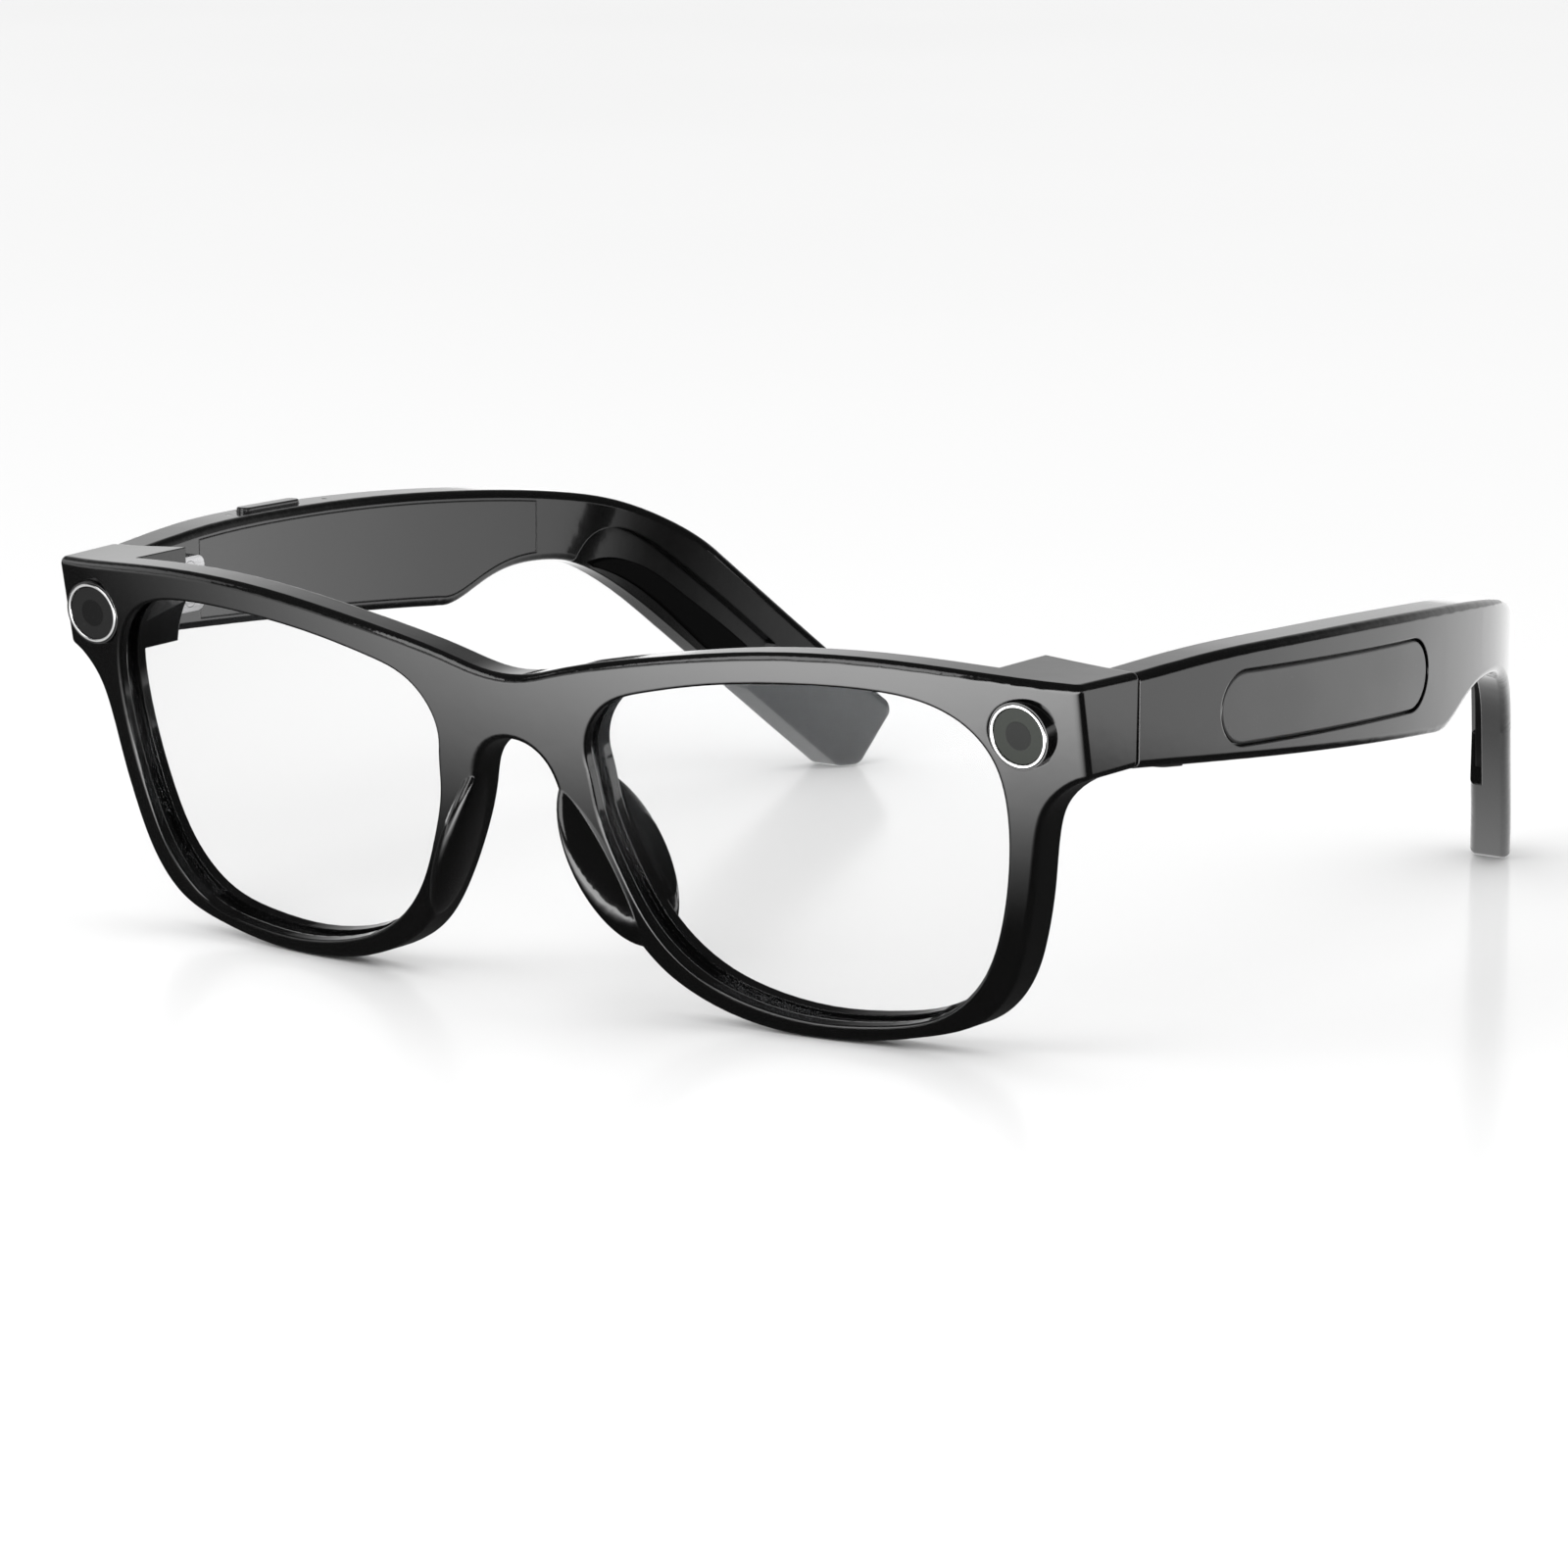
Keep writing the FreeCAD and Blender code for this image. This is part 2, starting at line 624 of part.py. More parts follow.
def temple_blank():
    """One temple as a solid bar with rounded edges, square at the parting face."""
    blank = temple_side().common(temple_band(temple_edge(1, 0), temple_edge(-1, 0)))
    widest = max(thickness for y, x, thickness in TEMPLE_PLAN)
    lengthwise = []
    for edge in blank.Edges:
        across = edge.BoundBox.XLength > 5 and edge.Length < widest + 0.1
        if not across and middle(edge).y > PARTING_Y + 1:
            lengthwise.append(edge)
    return blank.makeFillet(TEMPLE_ROUND, lengthwise)


def side_window(low, high):
    """A side-view rectangle (y, z) to (y, z) run right through the temple."""
    return box((20, low[0], low[1]), (110, high[0], high[1]))


def inset_side(margin, start, end):
    """The temple's side view shrunk by a margin, between two stations along it."""
    top = offset_points(side_view(TOP_LINE), margin, X_AXIS)
    notch = offset_points(side_view(NOTCH_LINE), margin, X_AXIS)
    front_bottom = side_view([TEMPLE_FRONT_BOTTOM])[0] + V(0, 0, margin)
    edges = [spline(top).toShape(), line(top[-1], notch[0]), spline(notch).toShape(),
             line(notch[-1], front_bottom), line(front_bottom, top[0])]
    return side_prism(edges).common(side_window((start, 0), (end, 60)))


def bay():
    """Room for the electronics, open towards the head."""
    region = inset_side(WALL, BAY_START, BAY_END)
    return region.common(temple_band(temple_edge(1, WALL), temple_edge(-1, -2)))


def inner_cover():
    """Lid over the bay, flush with the temple's inner face."""
    region = inset_side(WALL + COVER_PLAY, BAY_START + COVER_PLAY, BAY_END - COVER_PLAY)
    return region.common(inner_layer(0.02, COVER_THICK))


def scoop_tool():
    """Step that thins the tip on the inside, open along its lower edge."""
    upper = side_view(SCOOP_UPPER)
    ends = side_view(SCOOP_END)
    edges = [spline(upper).toShape(), line(upper[-1], ends[0]), line(ends[0], ends[1]),
             line(ends[1], upper[0])]
    return side_prism(edges).common(inner_layer(-2, 2 + SCOOP_DEPTH))


def ear_pad():
    """Soft raised pad inside the scoop."""
    upper, lower = side_view(PAD_UPPER), side_view(PAD_LOWER)
    edges = [spline(upper).toShape(), line(upper[-1], lower[0]), spline(lower).toShape(),
             line(lower[-1], upper[0])]
    return side_prism(edges).common(inner_layer(PAD_TOP_DEPTH, SCOOP_DEPTH - PAD_TOP_DEPTH))


def temple_shell():
    """The moulded temple: bar, bay, hinge pocket and scooped tip."""
    shell = temple_blank().cut(bay())
    return shell.cut(temple_hinge_pocket()).cut(scoop_tool())


# ---- touch panel --------------------------------------------------------------------------
def stadium(radius):
    """Side-view stadium along the touch panel's sloping middle line."""
    front, back = V(0, *TOUCH_FRONT), V(0, *TOUCH_BACK)
    along = (back - front).normalize()
    up = X_AXIS.cross(along)
    rise, ahead = up * radius, along * radius
    edges = [line(front + rise, back + rise),
             Part.Arc(back + rise, back + ahead, back - rise).toShape(),
             line(back - rise, front - rise),
             Part.Arc(front - rise, front - ahead, front + rise).toShape()]
    return side_prism(edges)


def touch_panel():
    panel = stadium(TOUCH_R).common(outer_layer(TOUCH_RECESS, TOUCH_THICK))
    outline = [e for e in panel.Edges if on_outer_face(middle(e), TOUCH_RECESS)]
    return panel.makeFillet(0.25, outline)


def touch_pocket():
    pocket = stadium(TOUCH_R + TOUCH_GROOVE)
    return pocket.common(outer_layer(-1, 1 + TOUCH_RECESS + TOUCH_THICK))


def on_outer_face(point, depth):
    """Whether a point lies on the surface `depth` inside the temple's outer face."""
    face_line = spline(temple_edge(1, depth))
    flat = V(point.x, point.y, 0)
    return face_line.value(face_line.parameter(flat)).distanceToPoint(flat) < 0.02


def touch_sensor():
    """Thin electrode board glued behind the panel."""
    depth = TOUCH_RECESS + TOUCH_THICK
    return stadium(TOUCH_R - 1).common(outer_layer(depth, 0.3))


def touch_sensor_pocket():
    depth = TOUCH_RECESS + TOUCH_THICK
    return stadium(TOUCH_R - 0.9).common(outer_layer(depth - 0.1, WALL + 0.2 - depth))


# ---- pieces placed along the temple --------------------------------------------------------
def temple_x(y, outer_depth):
    """x of the surface `outer_depth` inside the outer face, at station y."""
    curve = spline(temple_edge(1, outer_depth))
    plane = Part.makePlane(FAR, 60, V(0, y, -30), V(0, 1, 0), V(0, 0, 1))
    hit = curve.toShape().distToShape(plane)[1][0][0]
    return hit.x


def straight_block(station, outer_depth, thickness, gap=0.15):
    """A flat block in the bay, turned to follow the wall between its two ends."""
    y0, y1, z0, z1 = station
    ends = [V(temple_x(y, outer_depth), y, 0) for y in (y0, (y0 + y1) / 2, y1)]
    chord = ends[2] - ends[0]
    bow = ends[1].x - (ends[0].x + ends[2].x) / 2
    turn = math.degrees(math.atan2(-chord.x, chord.y))
    block = box((-thickness - gap + min(bow, 0), 0, z0), (-gap + min(bow, 0), y1 - y0, z1))
    block.rotate(ORIGIN, Z_AXIS, turn)
    block.translate(ends[0])
    return block


def battery():
    """Pouch cell with a folded tab end."""
    cell = straight_block(BATTERY, WALL, BATTERY_THICK)
    rounded = [e for e in cell.Edges if e.Length > 8]
    return cell.makeFillet(0.7, rounded)


def circuit_board(chips):
    """Circuit board with chips on the head side: (y, z, length, height, thickness) each."""
    pieces = [straight_block(BOARD, WALL, BOARD_THICK)]
    for y, z, length, height, thickness in chips:
        station = (y, y + length, z, z + height)
        pieces.append(straight_block(station, WALL, thickness, gap=0.15 + BOARD_THICK - 0.1))
    return fuse(pieces)


def speaker():
    """Sealed speaker capsule with rounded corners."""
    body = straight_block(SPEAKER, WALL, SPEAKER_THICK)
    upright = [e for e in body.Edges if e.BoundBox.ZLength < 5 and e.Length < 3.5]
    return body.makeFillet(1.2, upright)


def bottom_z(y):
    """Height of the temple's underside in front of the notch."""
    (y0, z0), (y1, z1) = TEMPLE_FRONT_BOTTOM, NOTCH_LINE[-1]
    return z0 + (z1 - z0) * (y - y0) / (y1 - y0)


def underside_frame(shape, y):
    """Put a shape drawn about the origin, z up, on the temple's underside at station y."""
    (y0, z0), (y1, z1) = TEMPLE_FRONT_BOTTOM, NOTCH_LINE[-1]
    shape.rotate(ORIGIN, X_AXIS, math.degrees(math.atan2(z1 - z0, y1 - y0)))
    shape.rotate(ORIGIN, Z_AXIS, temple_turn(y))
    shape.translate(V(temple_x(y, 0) - temple_thickness(y) / 2, y, bottom_z(y)))
    return shape


def temple_turn(y):
    """Plan angle of the temple at station y, in degrees about z."""
    ahead = 2
    return math.degrees(math.atan2(temple_x(y, 0) - temple_x(y + ahead, 0), ahead))


def temple_thickness(y):
    stations = [plan for plan in TEMPLE_PLAN if plan[0] <= y]
    following = [plan for plan in TEMPLE_PLAN if plan[0] > y]
    low, high = stations[-1], following[0]
    return low[2] + (high[2] - low[2]) * (y - low[0]) / (high[0] - low[0])


def top_z(y):
    curve = spline(side_view(TOP_LINE))
    plane = Part.makePlane(FAR, 80, V(-50, y, 0), V(0, 1, 0), V(0, 0, 1))
    return curve.toShape().distToShape(plane)[1][0][0].z


def topside_frame(shape, y):
    """Put a shape drawn about the origin, z up, on the temple's top at station y."""
    ahead = 2
    slope = math.degrees(math.atan2(top_z(y + ahead) - top_z(y - ahead), 2 * ahead))
    shape.rotate(ORIGIN, X_AXIS, slope)
    shape.rotate(ORIGIN, Z_AXIS, temple_turn(y))
    shape.translate(V(temple_x(y, 0) - temple_thickness(y) / 2, y, top_z(y)))
    return shape


def pill(length, width, low, high):
    """An upright stadium-shaped block, long along y."""
    radius, reach = width / 2, (length - width) / 2
    ends = [Part.makeCylinder(radius, high - low, V(0, y, low)) for y in (-reach, reach)]
    return fuse([box((-radius, -reach, low), (radius, reach, high))] + ends)


def rounded_pill(length, width, low, high, rounding):
    solid = pill(length, width, low, high)
    rim = [e for e in solid.Edges if abs(middle(e).z - high) < 0.01]
    return solid.makeFillet(rounding, rim)


def contact_block():
    """Insulating island round the charging contacts."""
    island = pill(CONTACT_LENGTH, CONTACT_WIDTH, -CONTACT_PROUD, WALL + 0.3)
    for pin in contact_pins_raw():
        island = island.cut(pin)
    return underside_frame(island, CONTACT_Y)


def contact_pins_raw():
    pins = []
    for y in (-CONTACT_SPACING / 2, CONTACT_SPACING / 2):
        pins.append(Part.makeCylinder(CONTACT_PIN_R, 2.6 + CONTACT_PROUD, V(0, y, -CONTACT_PROUD)))
    return pins


def contact_pins():
    """Two plated pins, ending flush with the island."""
    return underside_frame(Part.makeCompound(contact_pins_raw()), CONTACT_Y)


def contact_pocket():
    island = pill(CONTACT_LENGTH, CONTACT_WIDTH, -1, WALL + 0.3)
    room = Part.makeCylinder(CONTACT_PIN_R, 3, V(0, -CONTACT_SPACING / 2, 0))
    twin = Part.makeCylinder(CONTACT_PIN_R, 3, V(0, CONTACT_SPACING / 2, 0))
    return underside_frame(fuse([island, room, twin]), CONTACT_Y)


def speaker_grille():
    """Mesh plate in the sound slot under the temple."""
    plate = pill(GRILLE_LENGTH, GRILLE_WIDTH, 0.25, 0.65)
    return underside_frame(plate, GRILLE_Y)


def grille_slot():
    return underside_frame(pill(GRILLE_LENGTH, GRILLE_WIDTH, -1, WALL + 0.6), GRILLE_Y)


def capture_button():
    """Pill-shaped key with a retaining flange under the shell."""
    key = rounded_pill(BUTTON_LENGTH, BUTTON_WIDTH, -WALL - 0.35, BUTTON_PROUD, 0.25)
    flange = pill(BUTTON_LENGTH + 0.8, BUTTON_WIDTH + 0.5, -WALL - 0.65, -WALL - 0.15)
    return topside_frame(fuse([key, flange]), BUTTON_Y)


def button_slot():
    play = 2 * BUTTON_PLAY
    slot = pill(BUTTON_LENGTH + play, BUTTON_WIDTH + play, -WALL - 1, 2)
    seat = pill(BUTTON_LENGTH + 1.4, BUTTON_WIDTH + 1.2, -WALL - 1.6, -WALL - 0.1)
    return topside_frame(fuse([slot, seat]), BUTTON_Y)


def button_switch():
    """Low dome switch under the middle of the key."""
    top = -WALL - 0.65 - BUTTON_TRAVEL - 0.02
    body = box((-1.3, -1.6, top - 0.7), (1.3, 1.6, top - 0.15))
    dome = Part.makeCylinder(0.8, 0.2, V(0, 0, top - 0.2))
    return topside_frame(fuse([body, dome]), BUTTON_Y)


def status_light():
    """Light pipe that ends flush with the top of the temple."""
    pipe = Part.makeCylinder(STATUS_R, WALL + 0.6, V(0, 0, -WALL - 0.6))
    return topside_frame(pipe, STATUS_Y)


def status_hole():
    return topside_frame(Part.makeCylinder(STATUS_R, WALL + 2, V(0, 0, -WALL - 1)), STATUS_Y)


def mic_hole():
    return topside_frame(Part.makeCylinder(MIC_HOLE_R, WALL + 2, V(0, 0, -WALL - 1)), MIC_Y)


def microphone():
    """Small sealed can under the sound hole."""
    can = box((-1.2, -1.5, -WALL - 1.0), (1.2, 1.5, -WALL - 0.05))
    return topside_frame(can, MIC_Y)


# ---- assembly -----------------------------------------------------------------------------
def root_pieces():
    housing, bezel, glass = module_housing(), module_bezel(), module_glass()
    pieces = {
        "front_frame": front_frame(),
        "brow_flex_circuit": brow_flex(),
        "brow_channel_strip": brow_strip(),
        "lens_left": lens(),
        "lens_right": mirrored(lens()),
        "camera_housing": housing,
        "camera_bezel_ring": bezel,
        "camera_cover_glass": glass,
        "camera_lens_barrel": camera_barrel(),
        "camera_lens_element": camera_lens_element(),
        "camera_sensor_board": camera_sensor_board(),
        "light_housing": mirrored(housing),
        "light_bezel_ring": mirrored(bezel),
        "light_cover_glass": mirrored(glass),
        "light_reflector": mirrored(light_reflector()),
        "light_diode_board": mirrored(light_board()),
    }
    pieces["hinge_front_leaf_left"] = hinge_front_leaf()
    pieces["hinge_front_leaf_right"] = mirrored(hinge_front_leaf())
    pieces["hinge_pin_left"] = hinge_pin()
    pieces["hinge_pin_right"] = mirrored(hinge_pin())
    return pieces


def shared_temple_pieces():
    """Pieces that both temples have, drawn for the left side."""
    return {
        "inner_cover": inner_cover(),
        "ear_pad": ear_pad(),
        "hinge_leaf": hinge_temple_leaf(),
        "hinge_screws": Part.makeCompound(leaf_screw_pair(0.25)),
        "battery": battery(),
        "speaker": speaker(),
        "speaker_grille": speaker_grille(),
    }


def all_pieces():
    pieces = root_pieces()
    shell = temple_shell().cut(grille_slot())
    shared = shared_temple_pieces()
    left_shell = shell
    for tool in (touch_pocket(), touch_sensor_pocket(), contact_pocket()):
        left_shell = left_shell.cut(tool)
    right_shell = shell
    for tool in (button_slot(), status_hole(), mic_hole()):
        right_shell = right_shell.cut(tool)

    pieces["temple_left_shell"] = left_shell
    pieces["temple_right_shell"] = mirrored(right_shell)
    for name, shape in shared.items():
        pieces["temple_left_" + name] = shape
        pieces["temple_right_" + name] = mirrored(shape)
    pieces["touch_panel"] = touch_panel()
    pieces["touch_sensor_board"] = touch_sensor()
    pieces["main_board"] = circuit_board([(66, 33, 6, 6, 1.1), (74, 33, 5, 4.5, 0.9),
                                       (74, 38.4, 4, 2.6, 0.7)])
    pieces["charging_contact_block"] = contact_block()
    pieces["charging_contact_pins"] = contact_pins()
    pieces["side_board"] = mirrored(circuit_board([(66, 34, 4, 4, 0.9), (72, 36, 5, 3, 0.7)]))
    pieces["capture_button"] = mirrored(capture_button())
    pieces["button_switch"] = mirrored(button_switch())
    pieces["status_light_pipe"] = mirrored(status_light())
    pieces["microphone"] = mirrored(microphone())
    return pieces


def export(pieces):
    """Centre the whole object over the origin and write one STEP file per piece."""
    whole = Part.makeCompound(list(pieces.values())).optimalBoundingBox()
    shift = V(0, -round((whole.YMin + whole.YMax) / 2, 1), 0)
    os.makedirs("parts", exist_ok=True)
    for name, shape in pieces.items():
        shape.translate(shift)
        shape.exportStep(os.path.join("parts", name + ".step"))
    print("shift along y:", shift.y, "pieces:", len(pieces))


if __name__ == "__main__":
    export(all_pieces())
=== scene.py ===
import json
import math

import bpy
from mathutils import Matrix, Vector


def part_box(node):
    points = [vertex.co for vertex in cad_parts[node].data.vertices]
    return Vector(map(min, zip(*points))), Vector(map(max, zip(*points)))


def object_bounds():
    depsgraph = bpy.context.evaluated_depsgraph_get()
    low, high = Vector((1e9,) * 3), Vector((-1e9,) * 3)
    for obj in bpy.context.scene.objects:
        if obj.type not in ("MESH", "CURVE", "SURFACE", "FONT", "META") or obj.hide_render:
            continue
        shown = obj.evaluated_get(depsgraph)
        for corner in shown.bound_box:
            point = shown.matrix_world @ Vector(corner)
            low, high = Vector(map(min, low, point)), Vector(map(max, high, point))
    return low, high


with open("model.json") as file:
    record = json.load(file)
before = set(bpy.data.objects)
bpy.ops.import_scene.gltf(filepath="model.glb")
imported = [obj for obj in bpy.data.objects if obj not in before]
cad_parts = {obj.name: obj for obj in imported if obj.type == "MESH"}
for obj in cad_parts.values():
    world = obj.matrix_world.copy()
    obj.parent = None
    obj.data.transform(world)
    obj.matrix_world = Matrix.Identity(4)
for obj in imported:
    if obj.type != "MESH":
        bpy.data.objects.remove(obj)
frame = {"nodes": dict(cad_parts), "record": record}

cad_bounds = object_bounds()
MILLIMETRE = 0.001


# ---- camera ---------------------------------------------------------------------------------
AZIMUTH = math.radians(35.13)
ELEVATION = math.radians(11.57)
DISTANCE = 0.8182
LENS_LENGTH = 162.2
SENSOR_WIDTH = 36.0
AIM = Vector((0.02696, -0.05511, 0.02706))


def add_camera():
    """Camera in front of the wearer's left, a little above, with no roll and no shift."""
    data = bpy.data.cameras.new("camera")
    data.lens = LENS_LENGTH
    data.sensor_width = SENSOR_WIDTH
    data.clip_start = 0.01
    data.clip_end = 50
    camera = bpy.data.objects.new("camera", data)
    bpy.context.scene.collection.objects.link(camera)
    level = math.cos(ELEVATION)
    outward = Vector((math.sin(AZIMUTH) * level, -math.cos(AZIMUTH) * level, math.sin(ELEVATION)))
    camera.location = AIM + outward * DISTANCE
    camera.rotation_euler = (-outward).to_track_quat("-Z", "Y").to_euler()
    bpy.context.scene.camera = camera


# ---- shader helpers -------------------------------------------------------------------------
class Shader:
    """A small builder for one node tree: every method adds a node and returns its output."""

    def __init__(self, tree):
        self.tree = tree

    def add(self, kind, **settings):
        node = self.tree.nodes.new(kind)
        for name, value in settings.items():
            setattr(node, name, value)
        return node

    def plug(self, socket, value):
        if isinstance(value, bpy.types.NodeSocket):
            self.tree.links.new(value, socket)
        else:
            socket.default_value = value

    def place(self):
        """Position in metres on the object, the same at every pose."""
        return self.add("ShaderNodeTexCoord").outputs["Object"]

    def math(self, operation, first, second=0.0, clamp=False):
        node = self.add("ShaderNodeMath", operation=operation, use_clamp=clamp)
        self.plug(node.inputs[0], first)
        self.plug(node.inputs[1], second)
        return node.outputs[0]

    def vector(self, operation, first, second=(0, 0, 0), result="Vector"):
        node = self.add("ShaderNodeVectorMath", operation=operation)
        self.plug(node.inputs[0], first)
        self.plug(node.inputs[1], second)
        return node.outputs[result]

    def ramp(self, value, low, high, start=0.0, end=1.0):
        """Smooth step: `start` below `low`, `end` above `high`."""
        node = self.add("ShaderNodeMapRange", interpolation_type="SMOOTHSTEP")
        for socket, number in zip(node.inputs, (value, low, high, start, end)):
            self.plug(socket, number)
        return node.outputs[0]

    def noise(self, position, per_metre, detail=2.0, stretch=(1, 1, 1)):
        scaled = self.vector("MULTIPLY", position, stretch)
        node = self.add("ShaderNodeTexNoise")
        self.plug(node.inputs["Vector"], scaled)
        node.inputs["Scale"].default_value = per_metre
        node.inputs["Detail"].default_value = detail
        return node.outputs["Fac"]

    def mix(self, factor, first, second):
        """Colour between two colours."""
        node = self.add("ShaderNodeMix", data_type="RGBA")
        self.plug(node.inputs["Factor"], factor)
        self.plug(node.inputs["A"], first)
        self.plug(node.inputs["B"], second)
        return node.outputs["Result"]

    def bump(self, height, distance, strength=1.0, normal=None):
        node = self.add("ShaderNodeBump")
        node.inputs["Strength"].default_value = strength
        node.inputs["Distance"].default_value = distance
        self.plug(node.inputs["Height"], height)
        if normal is not None:
            self.plug(node.inputs["Normal"], normal)
        return node.outputs["Normal"]

    def soft_edges(self, radius):
        """Normal rounded over sharp edges."""
        node = self.add("ShaderNodeBevel", samples=6)
        node.inputs["Radius"].default_value = radius
        return node.outputs["Normal"]

    def hidden(self, reach):
        """1 in recesses and grooves narrower than `reach`, 0 in the open."""
        node = self.add("ShaderNodeAmbientOcclusion", samples=8, only_local=True)
        node.inputs["Distance"].default_value = reach
        return self.ramp(node.outputs["AO"], 0.25, 0.85, 1.0, 0.0)

    def edge_wear(self, rounded):
        """1 along edges and 0 on open faces, from a rounded normal."""
        flat = self.add("ShaderNodeNewGeometry").outputs["Normal"]
        agreement = self.vector("DOT_PRODUCT", rounded, flat, "Value")
        return self.ramp(agreement, 0.80, 0.995, 1.0, 0.0)


def new_material(name):
    """Material with one Principled shader, and its builder."""
    material = bpy.data.materials.new(name)
    material.use_nodes = True
    shader = Shader(material.node_tree)
    surface = material.node_tree.nodes["Principled BSDF"]
    return material, shader, surface


def grey(value):
    return (value, value, value, 1.0)


# ---- materials ------------------------------------------------------------------------------
LENS_TINT = 0.04


def gloss_plastic(name, base, roughness, coat=1.0, edge_radius=0.25 * MILLIMETRE):
    """Polished moulded black: faint orange peel, hazy patches, hairlines, lighter edges and painted
    shade in recesses.
    """
    material, shader, surface = new_material(name)
    place = shader.place()
    rounded = shader.soft_edges(edge_radius)
    wear = shader.edge_wear(rounded)
    haze = shader.noise(place, 55, 3)
    hairline = shader.noise(place, 900, 4, stretch=(0.15, 0.02, 1.0))
    handled = shader.math("MULTIPLY", shader.ramp(hairline, 0.62, 0.74), 0.02)
    dull = shader.math("ADD", shader.ramp(haze, 0.35, 0.7, roughness, roughness * 1.5), handled)
    worn = shader.math("MULTIPLY", wear, 0.06)
    shader.plug(surface.inputs["Roughness"], shader.math("ADD", dull, worn))
    flecked = shader.mix(shader.ramp(shader.noise(place, 2600, 2), 0.66, 0.8, 0, 0.35),
                         grey(base), grey(base * 2.2))
    shader.plug(surface.inputs["Base Color"],
                shader.mix(shader.math("MULTIPLY", wear, 0.5), flecked, grey(base * 2.6)))
    peel = shader.bump(shader.noise(place, 420, 2), 0.006 * MILLIMETRE, normal=rounded)
    shader.plug(surface.inputs["Normal"], peel)
    surface.inputs["IOR"].default_value = 1.5
    surface.inputs["Specular IOR Level"].default_value = 0.3
    # Painted shade: the coat fades out in recesses and grooves narrower than 9 mm, so inner walls and
    # hollows look darker.
    coat_with_painted_recess_shade = shader.math("SUBTRACT", 1.0, shader.hidden(9 * MILLIMETRE))
    shader.plug(surface.inputs["Coat Weight"], shader.math("MULTIPLY", coat_with_painted_recess_shade, coat))
    surface.inputs["Coat Roughness"].default_value = roughness * 0.5
    shader.plug(surface.inputs["Coat Normal"], peel)
    return material


def soft_touch(name, base, grain_per_metre, grain_depth=0.006 * MILLIMETRE, shine=0.25):
    """Matte moulded surface with a fine spark-eroded grain."""
    material, shader, surface = new_material(name)
    place = shader.place()
    rounded = shader.soft_edges(0.3 * MILLIMETRE)
    wear = shader.edge_wear(rounded)
    grain = shader.noise(place, grain_per_metre, 3)
    patches = shader.noise(place, 140, 3)
    shader.plug(surface.inputs["Base Color"], shader.mix(patches, grey(base), grey(base * 1.5)))
    shader.plug(surface.inputs["Roughness"],
                shader.math("SUBTRACT", shader.ramp(patches, 0.3, 0.7, 0.5, 0.66),
                            shader.math("MULTIPLY", wear, 0.14)))
    shader.plug(surface.inputs["Normal"],
                shader.bump(grain, grain_depth, normal=rounded))
    surface.inputs["Specular IOR Level"].default_value = shine
    return material


def metal(name, tint, roughness, stretch=(1, 1, 1)):
    """Bright metal with fine tool lines and slightly burnished edges."""
    material, shader, surface = new_material(name)
    place = shader.place()
    rounded = shader.soft_edges(0.08 * MILLIMETRE)
    wear = shader.edge_wear(rounded)
    lines = shader.noise(place, 5000, 3, stretch=stretch)
    stain = shader.noise(place, 300, 3)
    darker = tuple(channel * 0.8 for channel in tint[:3]) + (1.0,)
    shader.plug(surface.inputs["Base Color"],
                shader.mix(shader.ramp(stain, 0.4, 0.75, 0, 0.6), tint, darker))
    uneven = shader.ramp(lines, 0.3, 0.7, roughness * 0.8, roughness * 1.4)
    shader.plug(surface.inputs["Roughness"],
                shader.math("SUBTRACT", uneven, shader.math("MULTIPLY", wear, roughness * 0.4)))
    shader.plug(surface.inputs["Normal"],
                shader.bump(lines, 0.002 * MILLIMETRE, strength=0.6, normal=rounded))
    surface.inputs["Metallic"].default_value = 1.0
    return material


def clear_lens():
    """Coated clear lens: a thin pane that mirrors a little, more at a slant, with faint smears."""
    material, shader, surface = new_material("clear_lens")
    place = shader.place()
    smear = shader.noise(place, 90, 4, stretch=(1.0, 1.0, 0.45))
    shader.plug(surface.inputs["Roughness"], shader.ramp(smear, 0.5, 0.8, 0.03, 0.10))
    shader.plug(surface.inputs["Base Color"],
                shader.mix(smear, (0.20, 0.21, 0.22, 1), (0.26, 0.27, 0.28, 1)))
    shader.plug(surface.inputs["Normal"],
                shader.bump(shader.noise(place, 60, 2), 0.01 * MILLIMETRE, strength=0.3))
    slant = shader.add("ShaderNodeLayerWeight").outputs["Facing"]
    mirrored = shader.math("POWER", slant, 5.0)
    shader.plug(surface.inputs["Alpha"], shader.math("ADD", mirrored, LENS_TINT, clamp=True))
    surface.inputs["Metallic"].default_value = 1.0
    return material


def module_window(name, node, ring_colour, aperture_colour):
    """Cover glass of a round module: a printed ring round a darker, clearer aperture."""
    material, shader, surface = new_material(name)
    place = shader.place()
    low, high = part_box(node)
    centre = (low + high) / 2
    radius = (high.x - low.x) / 2
    distance = shader.vector("LENGTH", shader.vector("SUBTRACT", place, tuple(centre)), result="Value")
    ring = shader.ramp(distance, radius * 0.50, radius * 0.56)
    dust = shader.ramp(shader.noise(place, 6000, 2), 0.68, 0.8, 0, 0.12)
    printed = shader.mix(ring, aperture_colour, ring_colour)
    shader.plug(surface.inputs["Base Color"], shader.mix(dust, printed, grey(0.3)))
    shader.plug(surface.inputs["Roughness"], shader.ramp(ring, 0, 1, 0.05, 0.16))
    shader.plug(surface.inputs["Normal"],
                shader.bump(ring, 0.02 * MILLIMETRE, strength=0.5,
                            normal=shader.soft_edges(0.1 * MILLIMETRE)))
    surface.inputs["Specular IOR Level"].default_value = 0.12
    return material


